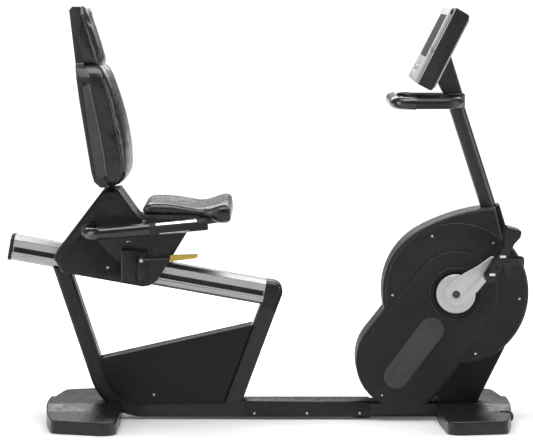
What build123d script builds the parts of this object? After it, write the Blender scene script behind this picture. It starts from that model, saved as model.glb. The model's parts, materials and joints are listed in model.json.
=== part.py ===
from build123d import *
import os
from math import asin, atan2, cos, degrees, radians, sin, tan

# Recumbent exercise bike, millimetres.
# +X is forward (the way the rider faces), +Y is the rider's left, +Z is up.
# The origin is on the floor under the middle of the machine's bounding box.

# ---------------------------------------------------------------- driving dimensions
RUN = 0.05  # radial clearance of a shaft in its hole
PEDAL_RUN = 0.09  # the same for the long bore of a pedal

BEAM_W, BEAM_D, WALL = 92, 52, 3  # steel tube of the base beam and rear leg
BEAM_Z = 34  # height of the beam's centre line
BEAM_X0, BEAM_X1 = -388, 700
BEND_X, BEND_Z, BEND_R = -408, 190, 156  # bend between rear leg and beam
REAR_TILT = 18.3  # rear leg, degrees from vertical
FRONT_TILT = 20.5  # front leg of the seat frame, degrees from vertical
FRONT_LEG_D, FRONT_LEG_W = 56, 96
LEG_FOOT_Z = 52  # lower edge of the front leg and infill panels

RAIL_TILT = 10.15  # seat rail, degrees below horizontal towards the front
RAIL_H, RAIL_L = 80, 836
RAIL_X, RAIL_Z = -17.5, 381  # lower front corner of the rail
CAP_L = 12

CRANK_X, CRANK_Z = 613, 422
CRANK_ANGLE, CRANK_L = 39.5, 158
DISC_R = 239  # round part of the drive cover
COVER_Y, COVER_WALL = 80, 4
HUB_X, HUB_Z, HUB_R = 446, 198, 158  # generator centre and the cover's lobe
PILL_R = 150  # belt cover around the crank
PULLEY_R, SMALL_R, BELT_T = 105, 26, 3.5
BELT_Y, BELT_W = -45, 12
PLATE_Y, PLATE_T = -26, 7

MAST_X, MAST_Z, MAST_R = 724.5, 698, 25.2  # a point on the mast's centre line
MAST_TILT = 18.0

BAR_Z, BAR_R = 1047, 18  # loop handlebar
BAR_X0, BAR_X1, BAR_Y, BAR_BEND = 412, 612, 200, 58

CON_X, CON_Z, CON_TILT = 469, 1120, 26.7  # lower user-side edge of the console
CON_H, CON_W, CON_FRONT, CON_DEPTH = 262, 380, 15, 65

CASE_Y, CASE_WALL = 105, 4  # carriage casing
GRIP_R, HANDLE_Y = 19.5, 230  # side handles
LOCK_X, LOCK_Z = -445, 494.6
LEVER_X, LEVER_Z = -410, 535

FOOT_H, FOOT_HUMP, FOOT_LIFT = 44, 58, 2
WHEEL_X, WHEEL_Y, WHEEL_Z, WHEEL_R = 778, 150, 28, 20


# ---------------------------------------------------------------- planes and helpers
def side(y):
    """Side-view plane at the given Y: drawn in X and Z, extruded towards -Y."""
    return Plane.XZ.offset(-y)


def at(x, z, y=0):
    return Vector(x, y, z)


s_rail, c_rail = sin(radians(RAIL_TILT)), cos(radians(RAIL_TILT))
RAIL_BACK = Vector(-c_rail, 0, s_rail)  # rearwards along the rail
RAIL_UP = Vector(s_rail, 0, c_rail)  # square to the rail
rail_end = Plane(origin=at(RAIL_X, RAIL_Z), x_dir=(0, -1, 0), z_dir=RAIL_BACK)
rail_side = Plane(origin=at(RAIL_X, RAIL_Z), x_dir=RAIL_BACK, z_dir=(0, 1, 0))


def on_rail(along, height):
    """World X, Z of a point given along and square to the rail."""
    point = at(RAIL_X, RAIL_Z) + RAIL_BACK * along + RAIL_UP * height
    return point.X, point.Z


t_front = tan(radians(FRONT_TILT))
LEG_HALF = FRONT_LEG_D / 2 / cos(radians(FRONT_TILT))


def leg_x(z, edge=0):
    """X of the front leg at a height: edge -1 is its rear face, +1 its front face."""
    return -18.8 + t_front * (z - 315) + edge * LEG_HALF


# ---------------------------------------------------------------- base frame
with BuildPart() as base_beam:
    with BuildSketch(Plane.YZ.offset(BEAM_X0)):
        with Locations((0, BEAM_Z)):
            RectangleRounded(BEAM_W, BEAM_D, 10)
            RectangleRounded(BEAM_W - 2 * WALL, BEAM_D - 2 * WALL, 7, mode=Mode.SUBTRACT)
    extrude(amount=BEAM_X1 - BEAM_X0)

rear_turn = radians(90 - REAR_TILT)
rear_corner = at(BEND_X - BEND_R * tan(rear_turn / 2), BEAM_Z)
rear_up = Vector(-sin(radians(REAR_TILT)), 0, cos(radians(REAR_TILT)))
rear_top = rear_corner + rear_up * 520
with BuildPart() as rear_leg:
    with BuildLine() as rear_path:
        FilletPolyline(rear_top, rear_corner, at(BEAM_X0, BEAM_Z), radius=BEND_R)
    with BuildSketch(Plane(origin=rear_top, x_dir=(0, 1, 0), z_dir=-rear_up)):
        RectangleRounded(BEAM_W, BEAM_D, 10)
        RectangleRounded(BEAM_W - 2 * WALL, BEAM_D - 2 * WALL, 7, mode=Mode.SUBTRACT)
    sweep()
    split(bisect_by=Plane(origin=at(RAIL_X, RAIL_Z), z_dir=RAIL_UP), keep=Keep.BOTTOM)

# Front leg: a tilted tube that straddles the beam, under a rounded corner casting.
leg_seam = leg_x(378, -1)
s_leg, c_leg = sin(radians(FRONT_TILT)), cos(radians(FRONT_TILT))
leg_top = at(leg_seam + c_leg * FRONT_LEG_D / 2, 378 - s_leg * FRONT_LEG_D / 2)
leg_plane = Plane(origin=leg_top, x_dir=(0, 1, 0), z_dir=(-s_leg, 0, -c_leg))
with BuildPart() as front_leg:
    with BuildSketch(leg_plane):
        RectangleRounded(FRONT_LEG_W, FRONT_LEG_D, 12)
        RectangleRounded(FRONT_LEG_W - 2 * WALL, FRONT_LEG_D - 2 * WALL, 9, mode=Mode.SUBTRACT)
    extrude(amount=370)
    split(bisect_by=Plane.XY.offset(LEG_FOOT_Z), keep=Keep.TOP)
    with BuildSketch(Plane.YZ.offset(-300)):
        with Locations((0, BEAM_Z)):
            Rectangle(BEAM_W + 0.2, BEAM_D + 0.1)
    extrude(amount=600, mode=Mode.SUBTRACT)

rail_top_x, rail_top_z = on_rail(0, RAIL_H)
corner_z = (rail_top_z + s_rail / c_rail * (rail_top_x - leg_x(0, 1))) / (1 + s_rail / c_rail * t_front)
leg_drop = FRONT_LEG_D * s_leg
leg_reach = FRONT_LEG_D * c_leg
with BuildPart() as corner_cap:
    with BuildSketch(side(0)):
        with BuildLine():
            Polyline(
                (leg_seam, 378),
                (RAIL_X, RAIL_Z),
                (rail_top_x, rail_top_z),
                (leg_x(corner_z, 1), corner_z),
                (leg_seam + leg_reach, 378 - leg_drop),
                close=True,
            )
        make_face()
        fillet(vertices().sort_by(Axis.X)[-1], 34)
    extrude(amount=FRONT_LEG_W / 2, both=True)
    upper = edges().filter_by(lambda e: e.center().Z > 425 and abs(e.center().Y) > 40)
    chamfer(upper, 10)

PANEL_T = 2.2
panel_r = BEAM_Z + BEAM_D / 2 - LEG_FOOT_Z + BEND_R - BEAM_D / 2
with BuildPart() as infill_panel_right:
    with BuildSketch(side(-BEAM_W / 2 - 0.2)):
        with BuildLine():
            bend = CenterArc((BEND_X, BEND_Z), panel_r, 180 + REAR_TILT, 90 - REAR_TILT)
            rise = Line(bend @ 0, bend @ 0 + Vector(-tan(radians(REAR_TILT)), 1) * 53)
            Polyline(
                bend @ 1,
                (leg_x(LEG_FOOT_Z, -1) - 0.5, LEG_FOOT_Z),
                (leg_x(314, -1) - 0.5, 314),
                rise @ 1,
            )
        make_face()
    extrude(amount=PANEL_T)
with BuildPart() as infill_panel_left:
    mirror(infill_panel_right.part, about=Plane.XZ)

# The top strip closes the gap between the two panels along their sloping upper edge.
with BuildPart() as infill_top:
    with BuildSketch(side(0)):
        with BuildLine():
            low_end, high_end = rise @ 1, Vector(leg_x(314, -1), 314)
            slope = (high_end - low_end).normalized()
            low_end += slope * 13
            high_end -= slope * 5
            Polyline(low_end, high_end, high_end - Vector(0, 8), low_end - Vector(0, 8), close=True)
        make_face()
    extrude(amount=BEAM_W / 2, both=True)

STEP_X0, STEP_X1, STEP_TOP = -80, 335, 62.5
with BuildPart() as step_cover:
    with BuildSketch(side(0)):
        with Locations(((STEP_X0 + STEP_X1) / 2, (STEP_TOP + 11) / 2)):
            Rectangle(STEP_X1 - STEP_X0, STEP_TOP - 11)
        fillet(vertices().group_by(Axis.Y)[0], 24)
    extrude(amount=50, both=True)
    fillet(faces().sort_by(Axis.Z)[-1].edges().filter_by(Axis.X), 8)
    with BuildSketch(Plane.YZ.offset(STEP_X0 - 10)):
        with Locations((0, BEAM_Z)):
            RectangleRounded(BEAM_W + 0.4, BEAM_D + 0.4, 10)
        with Locations((0, 6)):
            Rectangle(BEAM_W + 0.4, 40)
    extrude(amount=500, mode=Mode.SUBTRACT)


# ---------------------------------------------------------------- feet
def foot(x_inner, x_end, y_end, x_outer, y_outer, x_bulge, corner):
    """Low cast foot: tapered ends, bowed outer edge, a hump where the beam crosses it."""
    inset = 6 if x_outer > x_inner else -6
    with BuildPart() as shape:
        with BuildSketch(Plane.XY.offset(FOOT_LIFT)) as plan:
            with BuildLine():
                Polyline(
                    (x_outer, y_outer), (x_end, y_end), (x_inner, 110),
                    (x_inner, -110), (x_end, -y_end), (x_outer, -y_outer),
                )
                ThreePointArc((x_outer, -y_outer), (x_bulge, 0), (x_outer, y_outer))
            make_face()
            fillet(vertices().filter_by(lambda v: abs(v.X - x_end) < 1 and abs(v.Y) > 200), corner)
            fillet(vertices().filter_by(lambda v: abs(v.X - x_outer) < 1), corner * 0.6)
        extrude(amount=FOOT_HUMP)
        with BuildSketch(Plane.YZ.offset(-900)):
            with BuildLine():
                Polyline((-400, FOOT_H), (-400, 0), (400, 0), (400, FOOT_H))
                FilletPolyline(
                    (400, FOOT_H), (140, FOOT_H), (80, FOOT_HUMP),
                    (-80, FOOT_HUMP), (-140, FOOT_H), (-400, FOOT_H),
                    radius=60,
                )
            make_face()
        extrude(amount=1800, mode=Mode.INTERSECT)
        rim = edges().filter_by(lambda e: e.center().Z > FOOT_H - 2 and abs(e.tangent_at(0.5).X) < 0.9)
        fillet(rim, 5)
        with BuildSketch(Plane.XY.offset(FOOT_LIFT)):
            with Locations(((x_inner + x_outer) / 2 - 2 * inset, 0)):
                RectangleRounded(abs(x_outer - x_inner) - 70, 500, 12)
        extrude(amount=FOOT_H - FOOT_LIFT - 7, mode=Mode.SUBTRACT)
        with BuildSketch(Plane.YZ.offset(BEAM_X0)):
            with Locations((0, BEAM_Z)):
                Rectangle(BEAM_W + 0.4, BEAM_D + 0.4)
        extrude(amount=BEAM_X1 - BEAM_X0 + 0.3, mode=Mode.SUBTRACT)
    return shape


with BuildPart() as rear_foot:
    add(foot(-480, -482, 376, -690, 316, -726, 45).part)
    with Locations(Location(at(BEND_X, BEND_Z), (90, 0, 0))):
        Cylinder(BEND_R + BEAM_D / 2 + 0.3, BEAM_W + 0.4, mode=Mode.SUBTRACT)

with BuildPart() as front_foot:
    add(foot(556, 576, 356, 765, 327, 797, 40).part)
    for y in (-WHEEL_Y, WHEEL_Y):
        with Locations((WHEEL_X + 17, y, 30)):
            Box(80, 26, 80, mode=Mode.SUBTRACT)
        with Locations(Location((WHEEL_X, y, WHEEL_Z), (90, 0, 0))):
            Cylinder(4.01, 46, mode=Mode.SUBTRACT)

with BuildPart() as foot_pads:
    with BuildSketch():
        with Locations((-640, 285), (-640, -285), (-510, 290), (-510, -290)):
            Circle(20)
        with Locations((606, 285), (606, -285), (735, 280), (735, -280)):
            Circle(20)
    extrude(amount=FOOT_LIFT)

with BuildPart() as beam_bumper:
    with BuildSketch(Plane.XY.offset(3)):
        with Locations((310, 0)):
            Circle(34)
    extrude(amount=BEAM_Z - BEAM_D / 2 - 3)
    chamfer(faces().sort_by(Axis.Z)[0].edges(), 2)

wheel_parts = {}
for label, y in (("right", -WHEEL_Y), ("left", WHEEL_Y)):
    with BuildPart() as wheel:
        with BuildSketch(side(y + 10)):
            with Locations((WHEEL_X, WHEEL_Z)):
                Circle(WHEEL_R)
                Circle(4 + RUN, mode=Mode.SUBTRACT)
        extrude(amount=20)
        fillet(edges().filter_by(lambda e: e.geom_type == GeomType.CIRCLE and e.radius > WHEEL_R - 1), 3)
    wheel_parts[label] = wheel
with BuildPart() as wheel_axles:
    for y in (-WHEEL_Y, WHEEL_Y):
        with Locations(Location((WHEEL_X, y, WHEEL_Z), (90, 0, 0))):
            Cylinder(4, 44)


# ---------------------------------------------------------------- seat rail
with BuildPart() as rail:
    with BuildSketch(rail_end):
        with BuildLine():
            half = Polyline(
                (0, 0), (37, 0), (45, 8), (45, 21), (44, 22), (45, 23), (45, 28), (33, 28), (33, 45),
                (45, 45), (45, 66), (43.8, 67), (45, 68), (27, RAIL_H), (0, RAIL_H),
            )
            mirror(half, about=Plane.YZ)
        make_face()
        with Locations((0, 39.5)):
            RectangleRounded(46, 65, 4, mode=Mode.SUBTRACT)
    extrude(amount=RAIL_L)

with BuildPart() as rail_end_cap:
    with BuildSketch(rail_end.offset(RAIL_L)):
        with BuildLine():
            edge = Polyline((0, -2), (38, -2), (47, 7), (47, 69), (28, 82), (0, 82))
            mirror(edge, about=Plane.YZ)
        make_face()
    extrude(amount=CAP_L)
    fillet(faces().sort_by(Axis.X)[0].edges(), 3.5)

PITCH, TOOTH, RACK_X0, RACK_N = 12.7, 6.3, 84, 41
with BuildPart() as rack_right:
    with BuildSketch(rail_side.offset(-38.3)):
        with Locations((RAIL_L / 2, 36.5)):
            Rectangle(RAIL_L - 8, 16.6)
    extrude(amount=5)
    with BuildSketch(rail_side.offset(-43)):
        for tooth in range(RACK_N):
            with Locations((RACK_X0 + (tooth + 0.5) * PITCH, 36.5)):
                Rectangle(TOOTH, 13)
    extrude(amount=5)
with BuildPart() as gear_racks:
    add(rack_right.part)
    mirror(rack_right.part, about=Plane.XZ)

# ---------------------------------------------------------------- pedestal, mast and drive frame
with BuildPart() as pedestal:
    with BuildSketch(side(0)):
        with BuildLine():
            Polyline(
                (556, 60), (688, 60), (712, 109), (778, 242), (792, 300), (700, 300), (585, 235),
                close=True,
            )
        make_face()
    extrude(amount=58, both=True)
    fillet(edges().filter_by(lambda e: e.center().X > 700 and abs(e.center().Y) > 50 and e.length > 40), 8)
    with BuildSketch(side(0)):
        with BuildLine():
            Polyline(
                (562, 64), (684, 64), (708, 110), (774, 243), (786, 304), (698, 304), (590, 240),
                close=True,
            )
        make_face()
    extrude(amount=54, both=True, mode=Mode.SUBTRACT)

mast_dir = Vector(-sin(radians(MAST_TILT)), 0, cos(radians(MAST_TILT)))
mast_foot = at(MAST_X, MAST_Z) - mast_dir * 220
mast_plane = Plane(origin=mast_foot, x_dir=(0, 1, 0), z_dir=mast_dir)
MAST_L = 220 + 368
with BuildPart() as mast:
    with BuildSketch(mast_plane):
        Circle(MAST_R)
        Circle(MAST_R - WALL, mode=Mode.SUBTRACT)
    extrude(amount=MAST_L)


# The belt runs between the crank and generator centres; an idler rides on its lower strand.
hub, crank = Vector(HUB_X, HUB_Z), Vector(CRANK_X, CRANK_Z)
belt_span = (crank - hub).length
belt_angle = atan2(CRANK_Z - HUB_Z, CRANK_X - HUB_X)


def strand_side(hub_r, crank_r, way):
    """Direction square to a belt strand: way is -1 for the lower strand, 1 for the upper."""
    turn = way * (radians(90) + asin((crank_r - hub_r) / belt_span))
    return Vector(cos(belt_angle + turn), sin(belt_angle + turn))


def belt_loop(hub_r, crank_r):
    """Outline of a loop wrapped around the generator and crank centres."""
    low, high = strand_side(hub_r, crank_r, -1), strand_side(hub_r, crank_r, 1)
    ahead = Vector(cos(belt_angle), sin(belt_angle))
    with BuildSketch() as loop:
        with BuildLine():
            Line(hub + low * hub_r, crank + low * crank_r)
            ThreePointArc(crank + low * crank_r, crank + ahead * crank_r, crank + high * crank_r)
            Line(crank + high * crank_r, hub + high * hub_r)
            ThreePointArc(hub + high * hub_r, hub - ahead * hub_r, hub + low * hub_r)
        make_face()
    return loop.sketch


IDLER_R = 18
slack_side = strand_side(SMALL_R, PULLEY_R, -1)
idler_gap = 0.65 * SMALL_R + 0.35 * PULLEY_R + BELT_T + IDLER_R + 0.3
idler_at = hub * 0.65 + crank * 0.35 + slack_side * idler_gap
# Frame plate beside the pedestal top: it carries the crank, generator and idler bearings and the mast.
with BuildPart() as drive_frame:
    with BuildSketch(side(PLATE_Y)):
        with BuildLine():
            Polyline(
                (425, 190), (470, 150), (560, 215), (580, 247), (602, 252), (640, 225), (676, 90),
                (700, 128), (752, 240), (800, 470), (798, 530), (758, 590), (716, 596), (590, 480),
                (422, 250), close=True,
            )
        make_face()
        fillet(vertices(), 9)
        with Locations((690, 330), (700, 520)):
            Circle(30, mode=Mode.SUBTRACT)
    extrude(amount=PLATE_T)
    with BuildSketch(mast_plane):
        Circle(MAST_R + 6)
    extrude(amount=50)
    split(bisect_by=side(PLATE_Y - PLATE_T), keep=Keep.BOTTOM)
    with BuildSketch(mast_plane):
        Circle(MAST_R + RUN)
    extrude(amount=75, mode=Mode.SUBTRACT)
    with Locations(Location(at(CRANK_X, CRANK_Z), (90, 0, 0))):
        Cylinder(28, 68)
        Cylinder(21.01, 70, mode=Mode.SUBTRACT)
    with Locations(Location(at(HUB_X, HUB_Z, PLATE_Y), (90, 0, 0))):
        Cylinder(21.01, 70, mode=Mode.SUBTRACT)
    with Locations(Location(at(idler_at.X, idler_at.Y, -42), (90, 0, 0))):
        Cylinder(5, 24)
    with Locations(Location(at(idler_at.X, idler_at.Y, -55.5), (90, 0, 0))):
        Cylinder(8, 3)


with BuildPart() as crank_bearings:
    for y in (-27, 27):
        with Locations(Location(at(CRANK_X, CRANK_Z, y), (90, 0, 0))):
            Cylinder(21, 12)
            Cylinder(10 + RUN, 14, mode=Mode.SUBTRACT)
    chamfer(edges().filter_by(lambda e: e.geom_type == GeomType.CIRCLE and e.radius > 20), 0.8)
with BuildPart() as generator_bearing:
    with Locations(Location(at(HUB_X, HUB_Z, PLATE_Y - PLATE_T / 2), (90, 0, 0))):
        Cylinder(21, 12)
        Cylinder(10 + RUN, 14, mode=Mode.SUBTRACT)
    chamfer(edges().filter_by(lambda e: e.geom_type == GeomType.CIRCLE and e.radius > 20), 0.8)


# ---------------------------------------------------------------- drive covers
belt_pill = belt_loop(HUB_R, PILL_R)

shoulder = radians(118)
join = radians(50.8)
with BuildSketch() as cover_outline:
    with BuildLine():
        start = Vector(CRANK_X + DISC_R * cos(shoulder), CRANK_Z + DISC_R * sin(shoulder))
        crown = TangentArc(start, (697, 698), tangent=(sin(shoulder), -cos(shoulder)))
        Polyline(
            crown @ 1, (741, 703), (CRANK_X + DISC_R * cos(join), CRANK_Z + DISC_R * sin(join)),
            (CRANK_X, CRANK_Z), start,
        )
    make_face()
    with Locations((CRANK_X, CRANK_Z)):
        Circle(DISC_R)
    add(belt_pill)

ring_screws = [(535, 610), (735, 587), (407, 417), (821, 405), (679, 224), (374, 86)]
with BuildPart() as cover_right:
    with BuildSketch(side(0)):
        add(cover_outline.sketch)
        fillet(vertices().sort_by_distance((380, 369))[0], 14)
    extrude(amount=COVER_Y)
    fillet(faces().sort_by(Axis.Y)[0].edges(), 11)
    with BuildSketch(side(0)):
        add(cover_outline.sketch)
        offset(amount=-COVER_WALL)
    extrude(amount=COVER_Y - 6, mode=Mode.SUBTRACT)
    with Locations(Location(at(CRANK_X, CRANK_Z, -COVER_Y), (90, 0, 0))):
        Cylinder(16, 30, mode=Mode.SUBTRACT)
    with BuildSketch(mast_plane):
        Circle(MAST_R + 0.6)
    extrude(amount=300, mode=Mode.SUBTRACT)
    with BuildSketch(Plane.YZ.offset(200)):
        with Locations((0, BEAM_Z)):
            Rectangle(BEAM_W + 1, BEAM_D + 1)
    extrude(amount=600, mode=Mode.SUBTRACT)
    with BuildSketch(side(0)):
        with BuildLine():
            Polyline(
                (552, 40), (690, 40), (713.5, 108), (780.5, 241), (801, 320), (640, 310), (582, 242),
                close=True,
            )
        make_face()
    extrude(amount=58.6, mode=Mode.SUBTRACT)
    with BuildSketch(side(-COVER_Y + 4)):
        with Locations(*ring_screws):
            Circle(2.05)
    extrude(amount=10, mode=Mode.SUBTRACT)
with BuildPart() as cover_left:
    mirror(cover_right.part, about=Plane.XZ)

with BuildPart() as cover_screws:
    with BuildSketch(side(-COVER_Y + 4)):
        with Locations(*ring_screws):
            Circle(2)
    extrude(amount=4.5)
    with BuildSketch(side(-COVER_Y)):
        with Locations(*ring_screws):
            Circle(4.6)
    extrude(amount=1.8)
    mirror(about=Plane.XZ)

BADGE_R, BADGE_A, BADGE_B = 41, Vector(534, 303), Vector(420, 150)
badge_mid = (BADGE_A + BADGE_B) * 0.5
badge_turn = degrees(atan2(BADGE_A.Y - BADGE_B.Y, BADGE_A.X - BADGE_B.X))
badge_span = (BADGE_A - BADGE_B).length
with BuildPart() as belt_cover_right:
    with BuildSketch(side(-COVER_Y)):
        add(belt_pill)
        offset(amount=-11)
    extrude(amount=7)
    chamfer(faces().sort_by(Axis.Y)[0].edges(), 3)
    with BuildSketch(side(-COVER_Y - 3)):
        with Locations((CRANK_X, CRANK_Z)):
            Circle(84)
    extrude(amount=10, mode=Mode.SUBTRACT)
    with BuildSketch(side(-COVER_Y)):
        with Locations((CRANK_X, CRANK_Z)):
            Circle(16)
        for x, z in ring_screws:
            with Locations((x, z)):
                Circle(8)
    extrude(amount=10, mode=Mode.SUBTRACT)
    with BuildSketch(side(-COVER_Y - 5.8)):
        with Locations(Location((badge_mid.X, badge_mid.Y), (0, 0, badge_turn))):
            SlotCenterToCenter(badge_span, 2 * BADGE_R)
    extrude(amount=10, mode=Mode.SUBTRACT)
with BuildPart() as belt_cover_left:
    mirror(belt_cover_right.part, about=Plane.XZ)

with BuildPart() as badges:
    with BuildSketch(side(-COVER_Y - 5.8)):
        with Locations(Location((badge_mid.X, badge_mid.Y), (0, 0, badge_turn))):
            SlotCenterToCenter(badge_span, 2 * BADGE_R - 0.6)
    extrude(amount=0.8)
    with BuildSketch(side(-COVER_Y - 6.6)):
        with Locations(Location((badge_mid.X, badge_mid.Y), (0, 0, badge_turn))):
            SlotCenterToCenter(150, 34)
    extrude(amount=0.8)
    mirror(about=Plane.XZ)

with BuildPart() as mast_shroud:
    with BuildSketch(side(0)):
        with BuildLine():
            Polyline(
                (743, 703), (757, 710), (777, 645), (786, 612), (776, 598), (767, 607), close=True,
            )
        make_face()
    extrude(amount=38, both=True)
    fillet(edges().filter_by(lambda e: abs(e.center().Y) > 37 and e.center().X > 758), 5)
    with BuildSketch(mast_plane):
        Circle(MAST_R + 0.4)
    extrude(amount=400, mode=Mode.SUBTRACT)


# ---------------------------------------------------------------- crank, pulleys and belt
crank_dir = Vector(cos(radians(CRANK_ANGLE)), 0, sin(radians(CRANK_ANGLE)))
crank_planes = {
    "right": Plane(origin=at(CRANK_X, CRANK_Z, -86), x_dir=crank_dir, z_dir=(0, -1, 0)),
    "left": Plane(origin=at(CRANK_X, CRANK_Z, 86), x_dir=-crank_dir, z_dir=(0, 1, 0)),
}
arm_parts = {}
for label, plane in crank_planes.items():
    with BuildPart() as arm:
        with BuildSketch(plane):
            Circle(64)
        extrude(amount=13)
        fillet(faces().sort_by(Axis.Y)[0 if label == "right" else -1].edges(), 4)
        with BuildSketch(plane.offset(6)):
            with BuildLine():
                Polyline((0, 38), (60, 37), (112, 27), (CRANK_L, 24))
                ThreePointArc((CRANK_L, 24), (CRANK_L + 24, 0), (CRANK_L, -24))
                Polyline((CRANK_L, -24), (112, -27), (60, -37), (0, -38))
                ThreePointArc((0, -38), (-38, 0), (0, 38))
            make_face()
        extrude(amount=16)
        fillet(faces().sort_by(Axis.Y)[0 if label == "right" else -1].edges(), 3)
        with BuildSketch(plane):
            Circle(10.03)
            with Locations((CRANK_L, 0)):
                Circle(7.01)
        extrude(amount=40, mode=Mode.SUBTRACT)
        with BuildSketch(plane.offset(16)):
            Circle(13)
        extrude(amount=10, mode=Mode.SUBTRACT)
    arm_parts[label] = arm

with BuildPart() as crank_axle:
    with Locations(Location(at(CRANK_X, CRANK_Z), (90, 0, 0))):
        Cylinder(10, 2 * 102)
    chamfer(edges().filter_by(GeomType.CIRCLE), 1)
with BuildPart() as crank_bolts:
    for y in (-104.5, 104.5):
        with Locations(Location(at(CRANK_X, CRANK_Z, y), (90, 0, 0))):
            Cylinder(12.5, 5)
    for y in (-107, 107):
        with Locations(Location(at(CRANK_X, CRANK_Z, y), (90, 0, 0))):
            Cylinder(6, 3, mode=Mode.SUBTRACT)

with BuildPart() as drive_pulley:
    with BuildSketch(side(BELT_Y + 8)):
        with Locations((CRANK_X, CRANK_Z)):
            Circle(PULLEY_R - 12)
            Circle(10.03, mode=Mode.SUBTRACT)
            with PolarLocations(58, 5):
                Circle(17, mode=Mode.SUBTRACT)
    extrude(amount=6)
    with BuildSketch(side(BELT_Y + 8)):
        with Locations((CRANK_X, CRANK_Z)):
            Circle(PULLEY_R)
            Circle(PULLEY_R - 14, mode=Mode.SUBTRACT)
            Circle(22)
            Circle(10.03, mode=Mode.SUBTRACT)
    extrude(amount=16)

with BuildPart() as generator_shaft:
    with Locations(Location(at(HUB_X, HUB_Z, -6), (90, 0, 0))):
        Cylinder(10, 100)
    with Locations(Location(at(HUB_X, HUB_Z, BELT_Y), (90, 0, 0))):
        Cylinder(SMALL_R, 16)
with BuildPart() as generator_rotor:
    with BuildSketch(side(24)):
        with Locations((HUB_X, HUB_Z)):
            Circle(110)
            Circle(84, mode=Mode.SUBTRACT)
            Circle(24)
            Circle(10.01, mode=Mode.SUBTRACT)
    extrude(amount=40)
    with BuildSketch(side(8)):
        with Locations((HUB_X, HUB_Z)):
            Circle(90)
            Circle(10.01, mode=Mode.SUBTRACT)
            with PolarLocations(54, 6):
                Circle(14, mode=Mode.SUBTRACT)
    extrude(amount=8)

with BuildPart() as drive_belt:
    with BuildSketch(side(BELT_Y + BELT_W / 2)):
        add(belt_loop(SMALL_R + BELT_T, PULLEY_R + BELT_T))
        add(belt_loop(SMALL_R + 0.2, PULLEY_R + 0.2), mode=Mode.SUBTRACT)
    extrude(amount=BELT_W)

with BuildPart() as idler_roller:
    with Locations(Location(at(idler_at.X, idler_at.Y, BELT_Y), (90, 0, 0))):
        Cylinder(IDLER_R, 14)
        Cylinder(5 + RUN, 20, mode=Mode.SUBTRACT)

# ---------------------------------------------------------------- pedals
PEDAL_TILT, PEDAL_Y, PEDAL_W = 60, 116, 104
along_sole = Vector(cos(radians(PEDAL_TILT)), 0, sin(radians(PEDAL_TILT)))
pedal_at = {
    "right": at(CRANK_X, CRANK_Z) + crank_dir * CRANK_L,
    "left": at(CRANK_X, CRANK_Z) - crank_dir * CRANK_L,
}


def sole_plane(centre, out=0):
    """Side plane of a pedal on the rider's right, turned with its sole."""
    return Plane(origin=centre - Vector(0, PEDAL_Y + out, 0), x_dir=along_sole, z_dir=(0, -1, 0))


def pedal_body(centre):
    with BuildPart() as body:
        with BuildSketch(sole_plane(centre)):
            with BuildLine():
                Polyline(
                    (-56, -8), (-44, -14), (70, -12), (92, -10), (122, -16), (140, -9), (129, 34),
                    (103, 30), (78, 16), (-44, 14), (-56, 9), close=True,
                )
            make_face()
        extrude(amount=PEDAL_W)
        fillet(edges().filter_by(Axis.Y), 4)
        top_face = Plane(
            origin=centre - Vector(0, PEDAL_Y + PEDAL_W / 2, 0),
            x_dir=along_sole,
            z_dir=Vector(0, 1, 0).cross(along_sole),
        )
        with BuildSketch(top_face):
            with Locations((40, 0)):
                RectangleRounded(44, 74, 6)
            with Locations((-32, 0)):
                RectangleRounded(30, 74, 6)
        extrude(amount=60, both=True, mode=Mode.SUBTRACT)
        with Locations(Location(centre - Vector(0, PEDAL_Y, 0), (90, 0, 0))):
            Cylinder(7 + PEDAL_RUN, 2 * (PEDAL_W - 6), mode=Mode.SUBTRACT)
    return body.part


def pedal_strap(centre):
    near, far = -PEDAL_Y - 2, -PEDAL_Y - PEDAL_W + 2
    root, reach = centre.X + 14, centre.X + 90
    with BuildPart() as band:
        with BuildSketch(Plane.XY.offset(centre.Z + 3)):
            with BuildLine():
                FilletPolyline((root, near), (reach, near), (reach, far), (root, far), radius=26)
                FilletPolyline(
                    (root, far + 4), (reach - 4, far + 4), (reach - 4, near - 4), (root, near - 4), radius=22,
                )
                Line((root, near), (root, near - 4))
                Line((root, far), (root, far + 4))
            make_face()
        extrude(amount=24)
        add(pedal_body(centre), mode=Mode.SUBTRACT)
    return band.part


def pedal_pins(centre):
    with BuildPart() as pins:
        with BuildSketch(sole_plane(centre, PEDAL_W)):
            for along in (-27.6, 39.5):
                with Locations(Location((along, 0), (0, 0, -PEDAL_TILT))):
                    SlotOverall(17, 6)
        extrude(amount=2.5)
    return pins.part


pedal_parts = {}
for piece_name, make in (("pedal", pedal_body), ("strap", pedal_strap), ("strap_pins", pedal_pins)):
    with BuildPart() as right_piece:
        add(make(pedal_at["right"]))
    with BuildPart() as left_piece:
        mirror(make(pedal_at["left"]), about=Plane.XZ)
    pedal_parts[piece_name + "_right"] = right_piece
    pedal_parts[piece_name + "_left"] = left_piece
with BuildPart() as pedal_spindles:
    for centre, way in ((pedal_at["right"], -1), (pedal_at["left"], 1)):
        with Locations(Location(centre + Vector(0, way * 150, 0), (90, 0, 0))):
            Cylinder(7, 112)


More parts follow.
